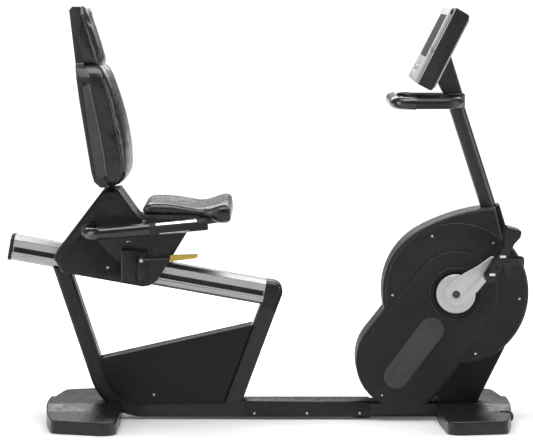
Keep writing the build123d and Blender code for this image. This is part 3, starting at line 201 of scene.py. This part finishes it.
paints = {
    PAINT: "base_beam rear_leg front_leg mast handlebar",
    PANEL: "infill_panels pedestal drive_frame carriage_frame generator_rotor",
    FOOT: "rear_foot front_foot",
    MOULDED: "cover_right cover_left",
    MOULDED_SOFT: "belt_covers mast_shroud",
    CASE: "casing_right casing_left lock_box step_cover rail_caps console_neck",
    SHELL: "backrest_shell seat_shell",
    BLACK: "console_rear pedal_right pedal_left glide_pads wheel_right wheel_left idler_roller",
    GLOSS: "crank_bolts lever_rod",
    RUBBER: "foot_pads drive_belt side_grips strap_right strap_left",
    BADGE: "badges",
    VINYL: "seat_cushion backrest_pad",
    RAIL: "rail",
    STEEL: "crank_axle bearings generator_shaft lock_pin",
    RACK: "gear_racks",
    HANDLE: "side_handles handlebar_grip",
    SILVER: "crank_arms drive_pulley",
    SENSOR: "hand_sensors",
    CONSOLE: "console_front up_key down_key stop_key",
    SCREEN: "console_screen",
    YELLOW: "lever_grip",
    SCREW: "frame_screws casing_fixings",
}
for paint, names in paints.items():
    for name in names.split():
        slots = nodes[name].data.materials
        if not slots:
            slots.append(paint)
        for i in range(len(slots)):
            slots[i] = paint

slot_of = {p["node"]: p["material_slot"] for p in frame["record"]["subparts"]}
body_of = {n: b for b, names in frame["record"]["behaviour"]["bodies"].items() for n in names}


# ---------------------------------------------------------------- mesh helpers
def place(name, mesh, paint, body, stands_for=(), slot=None):
    """New piece in the row frame, riding on a body."""
    o = bpy.data.objects.new(name, mesh)
    scene.collection.objects.link(o)
    mesh.materials.clear()
    mesh.materials.append(paint)
    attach(o, body)
    if stands_for:
        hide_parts(*stands_for)
    return o


def finished(bm, name, sharp=35):
    """Mesh from bmesh with smooth faces and sharp edges above the given angle."""
    bmesh.ops.recalc_face_normals(bm, faces=bm.faces)
    for f in bm.faces:
        f.smooth = True
    for e in bm.edges:
        e.smooth = not e.is_manifold or e.calc_face_angle(0) < math.radians(sharp)
    mesh = bpy.data.meshes.new(name)
    bm.to_mesh(mesh)
    bm.free()
    return mesh


def refined(names, width, paint=None, segments=3, angle=34):
    """Rounds the sharp edges of CAD nodes on a welded copy that stands for each of them."""
    for name in names.split():
        bm = bmesh.new()
        bm.from_mesh(nodes[name].data)
        bmesh.ops.remove_doubles(bm, verts=bm.verts, dist=2e-5)
        bmesh.ops.dissolve_limit(bm, angle_limit=math.radians(1.5), verts=bm.verts, edges=bm.edges)
        mesh = finished(bm, name, 180)
        o = place(name + "_shape", mesh, paint or nodes[name].data.materials[0], body_of[name], (name,))
        bevel = o.modifiers.new("edge", "BEVEL")
        bevel.width = width
        bevel.segments = segments
        bevel.limit_method = "ANGLE"
        bevel.angle_limit = math.radians(angle)
        bevel.use_clamp_overlap = True
        bevel.harden_normals = True


def tube(name, points, radius, paint, body, slot=None):
    """Thin round bead along points, as a mesh."""
    curve = bpy.data.curves.new(name, "CURVE")
    curve.dimensions = "3D"
    curve.bevel_depth = radius
    curve.bevel_resolution = 3
    curve.use_fill_caps = True
    line = curve.splines.new("POLY")
    line.points.add(len(points) - 1)
    for p, co in zip(line.points, points):
        p.co = (*co, 1)
    temp = bpy.data.objects.new(name, curve)
    scene.collection.objects.link(temp)
    mesh = bpy.data.meshes.new_from_object(temp.evaluated_get(bpy.context.evaluated_depsgraph_get()))
    bpy.data.objects.remove(temp)
    for f in mesh.polygons:
        f.use_smooth = True
    return place(name, mesh, paint, body, slot=slot)


def loft(name, rings):
    """Closed skin over rings of equal point count, with domed ends."""
    bm = bmesh.new()
    rows = [[bm.verts.new(p) for p in ring] for ring in rings]
    n = len(rows[0])
    for a, b in zip(rows, rows[1:]):
        for i in range(n):
            bm.faces.new((a[i], a[(i + 1) % n], b[(i + 1) % n], b[i]))
    for row in (rows[0], rows[-1]):
        centre = bm.verts.new(sum((v.co for v in row), Vector()) / n)
        for i in range(n):
            bm.faces.new((row[i], row[(i + 1) % n], centre))
    return finished(bm, name, 180)


def between(table, at):
    """Smooth value read from a table of (position, values...) rows."""
    for (p, *a), (q, *b) in zip(table, table[1:]):
        if at <= q:
            t = (at - p) / (q - p)
            t = min(max(t, 0.0), 1.0)
            return [x + (y - x) * t for x, y in zip(a, b)]
    return list(table[-1][1:])


def power(angle, n):
    c, s = math.cos(angle), math.sin(angle)
    return math.copysign(abs(c) ** (2 / n), c), math.copysign(abs(s) ** (2 / n), s)


def puffed(o, voxel, cap):
    """Upholstery: the cloth solver blows the pad up a little, at most by cap metres at any point."""
    remesh = o.modifiers.new("remesh", "REMESH")
    remesh.mode = "VOXEL"
    remesh.voxel_size = voxel
    bpy.context.view_layer.update()
    dg = bpy.context.evaluated_depsgraph_get()
    mesh = bpy.data.meshes.new_from_object(o.evaluated_get(dg))
    o.modifiers.clear()
    paint = o.data.materials[0]
    o.data = mesh
    mesh.materials.clear()
    mesh.materials.append(paint)
    rest = [v.co.copy() for v in mesh.vertices]
    cloth = o.modifiers.new("cloth", "CLOTH")
    settings = cloth.settings
    settings.use_pressure = True
    settings.uniform_pressure_force = 4.0
    settings.effector_weights.gravity = 0
    settings.tension_stiffness = 25
    settings.compression_stiffness = 25
    settings.bending_stiffness = 4
    for step in range(1, 21):
        scene.frame_set(step)
    dg = bpy.context.evaluated_depsgraph_get()
    moved = [v.co.copy() for v in o.evaluated_get(dg).data.vertices]
    o.modifiers.clear()
    scene.frame_set(1)
    drift = sum(((b - a) for a, b in zip(rest, moved)), Vector()) / len(rest)
    for v, a, b in zip(mesh.vertices, rest, moved):
        step = b - a - drift
        if step.length > cap:
            step *= cap / step.length
        v.co = a + step
    smooth = o.modifiers.new("smooth", "SMOOTH")
    smooth.iterations = 4
    smooth.factor = 0.5
    soft = o.modifiers.new("soft", "SUBSURF")
    soft.levels = soft.render_levels = 1
    dg = bpy.context.evaluated_depsgraph_get()
    final = bpy.data.meshes.new_from_object(o.evaluated_get(dg))
    o.modifiers.clear()
    o.data = final
    for f in final.polygons:
        f.use_smooth = True


def seam(name, points, pad, radius, paint):
    """Sewn seam: a bead laid on the pad's surface along a line of points."""
    laid = []
    steps = 10
    for a, b in zip(points, points[1:]):
        for i in range(steps):
            p = Vector(a).lerp(Vector(b), i / steps)
            laid.append(pad.closest_point_on_mesh(p)[1])
    return tube(name, laid, radius, paint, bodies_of(pad)[0])


# ---------------------------------------------------------------- soft pads
SEAT = [  # x, half width, top edge z, underside z, dish in the middle (mm)
    (-407, 158, 706, 697, 0), (-398, 176, 719, 692, 2), (-380, 185, 725, 691, 4), (-340, 188, 725, 691, 7),
    (-300, 190, 721, 691, 8), (-260, 192, 714, 691, 7), (-228, 195, 708, 690, 5), (-204, 199, 709, 683, 4),
    (-180, 219, 715, 674, 3), (-155, 231, 723, 664, 2), (-134, 235, 727, 663, 1), (-120, 235, 725, 664, 0),
    (-115, 232, 718, 668, 0),
]
SEAT_ROWS = [-407, -403, -398, -390, -380, -365, -340, -320, -300, -280, -260, -244, -228, -216, -204, -192,
             -180, -168, -155, -144, -134, -126, -120, -115]
rings = []
for x in SEAT_ROWS:
    w, top, low, dish = between(SEAT, x)
    ring = []
    for i in range(72):
        c, s = power(math.tau * i / 72, 5)
        y = w * c
        z = (top + low) / 2 + (top - low) / 2 * s
        if s > 0:
            z -= dish * (1 - (y / w) ** 2) * s
        ring.append((x / 1000, y / 1000, z / 1000))
    rings.append(ring)
seat = place("seat_pad", loft("seat_pad", rings), VINYL, "carriage", ("seat_cushion",))
puffed(seat, 0.005, 0.004)

BACK = [  # z, back x, front x at the side, crown, half width (mm)
    (777, -540, -496, 0, 150), (786, -540, -476, 3, 166), (800, -540, -463, 5, 173),
    (820, -542, -456, 7, 177),
    (850, -546, -455, 8, 178), (900, -554, -460, 11, 178), (950, -562, -469, 13, 178),
    (1000, -571, -480, 13, 178),
    (1049, -580, -492, 11, 178), (1100, -590, -508, 9, 178), (1130, -597, -518, 7, 176),
    (1148, -602, -525, 4, 168),
    (1160, -606, -531, 2, 155), (1168, -608, -537, 0, 140),
]
HEAD = [
    (1156, -612, -536, 4, 116), (1170, -614, -536, 5, 123), (1185, -616, -539, 5, 127),
    (1228, -622, -551, 5, 128),
    (1280, -626, -567, 4, 127), (1310, -628, -577, 3, 123), (1335, -628, -582, 2, 114),
    (1350, -624, -586, 1, 98),
    (1356, -620, -588, 0, 90),
]


def back_pad(name, table, rows, n):
    rings = []
    low, high = table[0][0], table[-1][0]
    for k in range(rows + 1):
        z = low + (high - low) * (0.5 - 0.5 * math.cos(math.pi * k / rows))
        rear, front, crown, w = between(table, z)
        ring = []
        for i in range(72):
            c, s = power(math.tau * i / 72, n)
            y = w * c
            x = (rear + front) / 2 + (front - rear) / 2 * s
            if s > 0:
                x += crown * (1 - (y / w) ** 2) * s
            ring.append((x / 1000, y / 1000, z / 1000))
        rings.append(ring)
    return loft(name, rings)


back = place("back_pad", back_pad("back_pad", BACK, 40, 6), VINYL, "carriage", ("backrest_pad",))
puffed(back, 0.005, 0.004)
head = place("head_pad", back_pad("head_pad", HEAD, 28, 5), VINYL, "carriage", slot=slot_of["backrest_pad"])
puffed(head, 0.004, 0.003)

# ---------------------------------------------------------------- rounded hard pieces
refined("backrest_shell", 0.011, segments=5)
refined("seat_shell", 0.006)
refined("casing_right casing_left", 0.0012)
refined("lock_box", 0.003)
refined("step_cover", 0.0015)
refined("rail_caps", 0.002)
refined("console_front console_rear", 0.0015)
refined("pedestal", 0.0015)
refined("infill_panels", 0.0007, segments=2)
refined("pedal_right pedal_left", 0.0018)
refined("rear_foot front_foot", 0.004, segments=4)
refined("crank_arms", 0.0012)
refined("mast_shroud", 0.0012)
refined("badges", 0.0004, segments=2)


# ---------------------------------------------------------------- helpers for small details
SIDES = (("right", -1), ("left", 1))
COVER_Y, CASE_Y, STEP_Y, PANEL_Y = 80, 105, 50, 48.4  # outer faces, in mm from the middle plane
joint_at = {j["name"]: [v * 1000 for v in j["pos_m"]]
            for j in frame["record"]["behaviour"]["joints"] if "pos_m" in j}
hub_x, _, hub_z = joint_at["crank_spin"]


def metres(x, y, z):
    return x / 1000, y / 1000, z / 1000


def turned(bm, profile, x, y, z, way, segments=28):
    """Round form about a sideways axis: profile rows are (radius, distance outwards) in mm."""
    angles = [math.tau * i / segments for i in range(segments)]
    rows = []
    for radius, out in profile:
        ring = angles if radius else angles[:1]
        rows.append([bm.verts.new(metres(x + radius * math.cos(a), y + way * out, z + radius * math.sin(a)))
                     for a in ring])
    for a, b in zip(rows, rows[1:]):
        for i in range(segments):
            j = (i + 1) % segments
            bm.faces.new((a[i], a[j], b[0]) if len(b) == 1 else (a[i], a[j], b[j], b[i]))
    bm.faces.new(rows[0])


def block(bm, size, centre, turn=0.0):
    """Box of the given size in mm about a centre in metres, turned about the sideways axis."""
    corners = bmesh.ops.create_cube(bm, size=1)["verts"]
    bmesh.ops.scale(bm, vec=metres(*size), verts=corners)
    bmesh.ops.rotate(bm, cent=(0, 0, 0), matrix=Matrix.Rotation(turn, 3, "Y"), verts=corners)
    bmesh.ops.translate(bm, vec=centre, verts=corners)


def soften(bm, width, segments=2):
    bmesh.ops.bevel(bm, geom=list(bm.edges), offset=width, segments=segments, affect="EDGES")


def detail(name, bm, paint, body, like):
    """Piece that stands for no CAD node, on the given body; the material slot of the node it belongs to is
    passed to place, which does not use it.
    """
    place(name, finished(bm, name), paint, body, slot=slot_of[like])


# ---------------------------------------------------------------- screws and pivot covers
SCREW_HEAD = [(4.4, -0.5), (4.4, 0.4), (3.7, 1.5), (2.4, 1.9), (1.9, 1.9), (1.5, 0.9), (0, 0.9)]
SMALL_SCREW_HEAD = [(radius * 0.6, out) for radius, out in SCREW_HEAD]
LEVER_SCREW_HEAD = [(6, -1), (6, 1.5), (5.2, 2.6), (3, 2.8), (2.6, 1.6), (0, 1.6)]
PIVOT_COVER = [(30, -0.5), (30, 0.8), (29.3, 1.3), (28.2, 1.3), (27.8, 0.6), (27.2, 0.6), (26.8, 1.3),
(0, 1.5)]
# Dark ring flush in the hub recess: painted shade in the gap round the crank disc.
HUB_GAP_SHADE = [(71, -0.5), (71, 0.5), (69.5, 1.1), (66, 1.1), (64, 0.2), (17, 0.2)]
COVER_SCREWS = ((535, 610), (735, 587), (407, 417), (821, 405), (679, 224), (374, 86))
STEP_SCREWS = ((-44, 22), (129, 22), (302, 22))

bm = bmesh.new()
for _, way in SIDES:
    for x, z in COVER_SCREWS:
        turned(bm, SCREW_HEAD, x, way * COVER_Y, z, way)
    for x, z in STEP_SCREWS:
        turned(bm, SCREW_HEAD, x, way * STEP_Y, z, way)
    turned(bm, SCREW_HEAD, -374, way * PANEL_Y, 83, way)
place("frame_screw_heads", finished(bm, "frame_screw_heads"), SCREW, "frame", ("frame_screws",))

bm = bmesh.new()
for _, way in SIDES:
    turned(bm, SCREW_HEAD, -520, way * CASE_Y, 510, way)
    for x, z in ((-456, 594), (-449, 595)):
        turned(bm, SMALL_SCREW_HEAD, x, way * CASE_Y, z, way, 20)
turned(bm, LEVER_SCREW_HEAD, -410, -132.5, 535, -1)
place("casing_screw_heads", finished(bm, "casing_screw_heads"), SCREW, "carriage", ("casing_fixings",))

bm = bmesh.new()
for _, way in SIDES:
    turned(bm, PIVOT_COVER, -508, way * CASE_Y, 706, way, 64)
detail("pivot_covers", bm, CASE, "carriage", "casing_fixings")

# ---------------------------------------------------------------- painted shade ring and painted highlight lines on the drive cover
# Painted shade: a dark ring on each recess floor round the crank disc.
bm = bmesh.new()
for _, way in SIDES:
    turned(bm, HUB_GAP_SHADE, hub_x, way * 83, hub_z, way, 72)
detail("hub_gap_shade", bm, GROOVE_AND_GAP_SHADE, "frame", "belt_covers")


def hub_circle(radius, first, last, y, count=60):
    """Points about the crank axle, from one angle in degrees to another."""
    steps = [math.radians(first + (last - first) * i / count) for i in range(count + 1)]
    return [metres(hub_x + radius * math.cos(a), y, hub_z + radius * math.sin(a)) for a in steps]


# Painted highlights: light beads along the cover's rim arc and round the hub recess rim.
for side, way in SIDES:
    face = way * (COVER_Y + 0.1)
    tube("cover_arc_highlight_" + side, hub_circle(229, 104, 38, face), 0.0011, RIM_HIGHLIGHT, "frame", slot_of["cover_right"])
    tube("cover_rim_highlight_" + side, hub_circle(228, 122, 190, face), 0.0009, RIM_HIGHLIGHT, "frame", slot_of["cover_right"])
    tube("recess_rim_highlight_" + side, hub_circle(84, 0, 360, way * 86.9, 90), 0.0008, RIM_HIGHLIGHT, "frame",
         slot_of["belt_covers"])

# ---------------------------------------------------------------- backrest shell's side panels, slots and painted edge highlight
PANEL_REAR = [(-596, 1100), (-590, 1050), (-578, 960), (-565, 880), (-553, 806)]
PANEL_FRONT = [(-573, 1108), (-560, 1050), (-541, 960), (-527, 880), (-518, 812)]
SHELL_SLOTS = ((-589, 1110), (-522, 808))


def shell_line(name, points, y, radius, paint):
    """Bead on the side of the backrest shell through (x, z) points."""
    tube(name, [metres(x, y, z) for x, z in points], radius, paint, "carriage", slot_of["backrest_shell"])


for side, way in SIDES:
    shell_line("shell_groove_" + side, PANEL_REAR, way * 176.2, 0.0012, GROOVE_AND_GAP_SHADE)
    # Painted highlight: a light bead along the shell's rounded front edge.
    shell_line("shell_edge_highlight_" + side, PANEL_FRONT, way * 175.6, 0.0026, SHELL_EDGE_HIGHLIGHT)
    bm = bmesh.new()
    rear = [bm.verts.new(metres(x + 1.5, way * 176.4, z)) for x, z in PANEL_REAR]
    front = [bm.verts.new(metres(x - 2, way * 176.4, z)) for x, z in PANEL_FRONT]
    for i in range(len(rear) - 1):
        bm.faces.new((rear[i], front[i], front[i + 1], rear[i + 1]))
    inner = bmesh.ops.extrude_face_region(bm, geom=list(bm.faces))["geom"]
    inner = [g for g in inner if isinstance(g, bmesh.types.BMVert)]
    bmesh.ops.translate(bm, vec=(0, -way * 0.0015, 0), verts=inner)
    detail("shell_side_" + side, bm, SHELL_SIDE, "carriage", "backrest_shell")
    bm = bmesh.new()
    for x, z in SHELL_SLOTS:
        block(bm, (4, 1.6, 13), metres(x, way * 176.8, z))
    soften(bm, 0.0004)
    detail("shell_slots_" + side, bm, GROOVE_AND_GAP_SHADE, "carriage", "backrest_shell")

# ---------------------------------------------------------------- piping on the pads, lighter in colour as painted highlight
PIPING, FINE_PIPING = 0.0015, 0.001
PAD_LINES = [
    ("back_piping", back, PIPING, [
        (-480, 185, 790), (-466, 190, 830), (-466, 190, 870), (-478, 190, 950), (-500, 190, 1050),
        (-522, 188, 1120), (-530, 182, 1142)]),
    ("head_piping", head, PIPING, [
        (-546, 140, 1172), (-556, 140, 1228), (-574, 140, 1285), (-590, 130, 1330)]),
    ("seat_piping", seat, PIPING, [
        (-396, 180, 716), (-370, 192, 719), (-300, 196, 716), (-230, 202, 702), (-190, 214, 706),
        (-150, 236, 716), (-122, 236, 718)]),
    ("seat_panel", seat, FINE_PIPING, [
        (-392, 120, 732), (-330, 140, 732), (-260, 150, 728), (-215, 120, 722), (-200, 60, 716),
        (-198, 0, 714)]),
]
for side, way in SIDES:
    for name, pad, radius, points in PAD_LINES:
        seam(name + "_" + side, [metres(x, way * y, z) for x, y, z in points], pad, radius, SEAM_WITH_HIGHLIGHT)

# ---------------------------------------------------------------- pedals
PEDAL_TURN = math.radians(60)
PEDAL_BOSS = [(10.5, -0.5), (10.5, 1), (9.5, 1.8), (7.2, 1.8), (6.6, 0.6), (4.5, 0.6), (4, 1.4), (0, 1.6)]
STRAP_TAIL = [(-13, 0), (-13, -24), (-11, -33), (-6, -39), (0, -41), (6, -39), (11, -33), (13, -24), (13, 0)]


def on_pedal(side, along, over, y):
    """Point in metres, from a place along the sole and over it in mm."""
    x, _, z = joint_at["pedal_" + side + "_spin"]
    return metres(x + along * math.cos(PEDAL_TURN) - over * math.sin(PEDAL_TURN), y,
                  z + along * math.sin(PEDAL_TURN) + over * math.cos(PEDAL_TURN))


for side, way in SIDES:
    body = body_of["pedal_" + side]
    x, _, z = joint_at["pedal_" + side + "_spin"]
    bm = bmesh.new()
    for along in (-27.6, 39.5):
        block(bm, (18.5, 4, 7.8), on_pedal(side, along, 1.5, way * 221.8))
    soften(bm, 0.0011, 3)
    detail("reflectors_" + side, bm, WHITE, body, "strap_right")
    bm = bmesh.new()
    turned(bm, PEDAL_BOSS, x, way * 220, z, way, 36)
    detail("pedal_boss_" + side, bm, BLACK, body, "pedal_right")
    bm = bmesh.new()
    for along in (-12, -6, 0, 6, 12):
        block(bm, (2.2, 82, 3), on_pedal(side, along, 14.6, way * 168), -PEDAL_TURN)
    soften(bm, 0.0006)
    detail("pedal_tread_" + side, bm, RUBBER, body, "pedal_right")
    bm = bmesh.new()
    near, far = [[bm.verts.new(metres(x + 36 + dx, way * y, z + 16 + dz)) for dx, dz in STRAP_TAIL]
                 for y in (217.6, 220.6)]
    bm.faces.new(near)
    bm.faces.new(far)
    for i in range(len(STRAP_TAIL)):
        j = (i + 1) % len(STRAP_TAIL)
        bm.faces.new((near[i], near[j], far[j], far[i]))
    soften(bm, 0.0008)
    detail("strap_tail_" + side, bm, BLACK, body, "strap_right")

# ---------------------------------------------------------------- console seam, catch and slot
CONSOLE_X, CONSOLE_Z = 469, 1120  # the console's lower front edge
CONSOLE_TILT = math.radians(26.7)
CATCH = [(0.5, 117), (2.5, 120), (4, 117), (4.2, 110), (6.5, 107), (9.5, 107), (11.5, 110), (12, 115),
(14.5, 113)]
SLOT_Y = {"right": -186.6, "left": 189.8}


def on_console(depth, up, y):
    """Point in metres, from the distance behind the console's front and up along it in mm."""
    return metres(CONSOLE_X + depth * math.cos(CONSOLE_TILT) + up * math.sin(CONSOLE_TILT), y,
                  CONSOLE_Z - depth * math.sin(CONSOLE_TILT) + up * math.cos(CONSOLE_TILT))


for side, way in SIDES:
    line = [on_console(9.5, up, way * 190.1) for up in (1, 60, 130, 200, 261)]
    tube("console_seam_" + side, line, 0.0006, GROOVE_AND_GAP_SHADE, "frame", slot_of["console_front"])
    hook = [on_console(depth, up, way * 190.3) for depth, up in CATCH]
    tube("console_catch_" + side, hook, 0.0009, DARK_STEEL, "frame", slot_of["console_front"])
    bm = bmesh.new()
    block(bm, (5.5, 1, 16.5), on_console(7, 249, SLOT_Y[side]), CONSOLE_TILT)
    soften(bm, 0.0004)
    detail("console_slot_" + side, bm, GROOVE_AND_GAP_SHADE, "frame", "console_front")

# ---------------------------------------------------------------- stage, light and camera
floor_mesh = bpy.data.meshes.new("floor")
FAR = 190
floor_corners = [(-FAR, -FAR, 0), (FAR, -FAR, 0), (FAR, FAR, 0), (-FAR, FAR, 0)]
floor_mesh.from_pydata(floor_corners, [], [(0, 1, 2, 3)])
floor = bpy.data.objects.new("floor", floor_mesh)
scene.collection.objects.link(floor)
pale = material("pale_floor", (0.8, 0.8, 0.8), 0.7, spec=0.2, tone=0.01, grain=0.0, edge_wear_and_highlight=0)
floor.data.materials.append(pale)
# The floor brightens away from the machine, so that it meets the white surroundings without an edge.
ft = pale.node_tree
spot = ft.nodes.new("ShaderNodeTexCoord")
shifted = ft.nodes.new("ShaderNodeVectorMath")
shifted.operation = "ADD"
shifted.inputs[1].default_value = (0, 1.1, 0)
reach = ft.nodes.new("ShaderNodeVectorMath")
reach.operation = "LENGTH"
fade = ft.nodes.new("ShaderNodeMapRange")
fade.inputs["From Min"].default_value = 1.0
fade.inputs["From Max"].default_value = 3.0
fade.inputs["To Min"].default_value = 0.02
fade.inputs["To Max"].default_value = 1.0
link(ft, spot.outputs["Object"], shifted.inputs[0])
link(ft, shifted.outputs["Vector"], reach.inputs[0])
link(ft, reach.outputs["Value"], fade.inputs["Value"])
floor_shader = ft.nodes["Principled BSDF"]
floor_shader.inputs["Emission Color"].default_value = (1, 1, 1, 1)
link(ft, fade.outputs["Result"], floor_shader.inputs["Emission Strength"])

world = bpy.data.worlds.new("studio")
scene.world = world
world.use_nodes = True
wt = world.node_tree
background = wt.nodes["Background"]
output = wt.nodes["World Output"]
seen = wt.nodes.new("ShaderNodeBackground")
seen.inputs["Color"].default_value = (1, 1, 1, 1)
background.inputs["Color"].default_value = (1, 1, 1, 1)
background.inputs["Strength"].default_value = 0.16
path = wt.nodes.new("ShaderNodeLightPath")
blend = wt.nodes.new("ShaderNodeMixShader")
link(wt, path.outputs["Is Camera Ray"], blend.inputs["Fac"])
link(wt, background.outputs["Background"], blend.inputs[1])
link(wt, seen.outputs["Background"], blend.inputs[2])
link(wt, blend.outputs["Shader"], output.inputs["Surface"])


def softbox(name, place, target, size, power):
    lamp = bpy.data.lights.new(name, "AREA")
    lamp.shape = "RECTANGLE"
    lamp.size, lamp.size_y = size
    lamp.energy = power
    o = bpy.data.objects.new(name, lamp)
    o.location = place
    o.rotation_euler = (Vector(target) - Vector(place)).to_track_quat("-Z", "Y").to_euler()
    scene.collection.objects.link(o)


softbox("top_light", (0, -0.6, 4.2), (0, 0, 0.5), (4.5, 3.0), 230)
softbox("left_light", (-4.2, -0.8, 1.8), (0, 0, 0.7), (2.0, 2.6), 70)
softbox("right_light", (4.2, -0.8, 1.8), (0, 0, 0.7), (2.0, 2.6), 70)
softbox("back_light", (0, 4.0, 2.6), (0, 0, 0.7), (4.0, 1.6), 70)

lens = bpy.data.cameras.new("camera")
lens.sensor_width = 36
lens.lens = 175.6
lens.clip_end = 400
camera = bpy.data.objects.new("camera", lens)
camera.location = (-0.004, -8.5, 1.45)
camera.rotation_euler = (math.radians(84.58), 0, 0)
scene.collection.objects.link(camera)
scene.camera = camera
